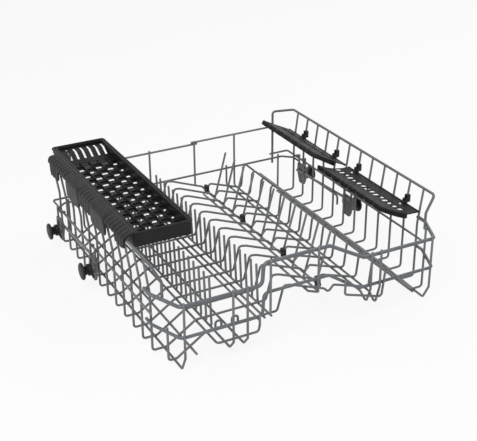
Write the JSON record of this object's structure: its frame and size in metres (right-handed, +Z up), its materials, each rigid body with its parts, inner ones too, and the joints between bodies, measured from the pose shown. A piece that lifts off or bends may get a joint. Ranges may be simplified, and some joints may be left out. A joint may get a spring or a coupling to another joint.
{
  "type": "dishwasher upper rack",
  "caption": "Welded wire dishwasher basket on wheels, with fixed and folding tines, hinged cup shelves and a lift-out cutlery tray.",
  "frame": {"origin": "middle of the footprint, on the plane the lowest wires rest on", "axes": "+X to the right seen from the front, +Y to the back of the machine, +Z up"},
  "size_m": [0.5474, 0.5094, 0.1778],
  "materials": {
    "wire_coating": "satin nylon coating",
    "rail_coating": "satin nylon coating",
    "tray_black": "fine grained",
    "shelf_black": "fine grained",
    "clip_black": "fine grained",
    "wheel_black": "smooth",
    "bracket_grey": "fine grained",
    "pin_steel": "turned"
  },
  "bodies": {
    "basket": {"cross_wires_rear": "wire_coating", "cross_wires_middle": "wire_coating", "cross_wires_front": "wire_coating", "front_cross_wires": "wire_coating", "long_wires_left": "wire_coating", "long_wires_right": "wire_coating", "front_top_rail": "rail_coating", "front_low_rail": "rail_coating", "back_top_rail": "wire_coating", "back_low_wire": "wire_coating", "side_mid_wires": "wire_coating", "rim_left": "wire_coating", "rim_right": "wire_coating", "plate_tines_left": "wire_coating", "plate_tines_right": "wire_coating", "cup_ridge_wire": "wire_coating", "stop_loops": "wire_coating", "inner_brace": "wire_coating", "side_braces": "wire_coating", "wheel_brackets": "bracket_grey", "wheel_axles": "pin_steel", "fold_clips": "clip_black", "shelf_clips_front": "clip_black", "shelf_clips_rear": "clip_black"},
    "fold_row": {"fold_axle": "wire_coating", "fold_tines": "wire_coating"},
    "shelf_front": {"cup_shelf_front": "shelf_black"},
    "shelf_rear": {"cup_shelf_rear": "shelf_black"},
    "cutlery_tray": {"tray_shell": "tray_black", "tray_dividers": "tray_black", "tray_floor": "tray_black", "tray_hooks": "tray_black"},
    "front_left_wheel": {"wheel_front_left": "wheel_black"},
    "front_right_wheel": {"wheel_front_right": "wheel_black"},
    "rear_left_wheel": {"wheel_rear_left": "wheel_black"},
    "rear_right_wheel": {"wheel_rear_right": "wheel_black"}
  },
  "joints": [
    {"name": "fold_turn", "type": "hinge", "parent": "basket", "child": "fold_row", "pos_m": [0.04626, 0, 0.04425], "axis": [0, 1, 0], "range_deg": [0, 42]},
    {"name": "front_shelf_turn", "type": "hinge", "parent": "basket", "child": "shelf_front", "pos_m": [0.2385, 0, 0.12725], "axis": [0, 1, 0], "range_deg": [0, 90]},
    {"name": "rear_shelf_turn", "type": "hinge", "parent": "basket", "child": "shelf_rear", "pos_m": [0.2385, 0, 0.12725], "axis": [0, 1, 0], "range_deg": [-25, 65]},
    {"name": "tray_lift", "type": "slide", "parent": "basket", "child": "cutlery_tray", "axis": [0, 0, 1], "range_m": [0, 0.1]},
    {"name": "front_left_spin", "type": "hinge", "parent": "basket", "child": "front_left_wheel", "pos_m": [-0.2655, 0.03847, 0.04175], "axis": [1, 0, 0], "continuous": true},
    {"name": "front_right_spin", "type": "hinge", "parent": "basket", "child": "front_right_wheel", "pos_m": [0.2655, 0.03847, 0.04175], "axis": [1, 0, 0], "continuous": true},
    {"name": "rear_left_spin", "type": "hinge", "parent": "basket", "child": "rear_left_wheel", "pos_m": [-0.2655, 0.20228, 0.04175], "axis": [1, 0, 0], "continuous": true},
    {"name": "rear_right_spin", "type": "hinge", "parent": "basket", "child": "rear_right_wheel", "pos_m": [0.2655, 0.20228, 0.04175], "axis": [1, 0, 0], "continuous": true}
  ]
}
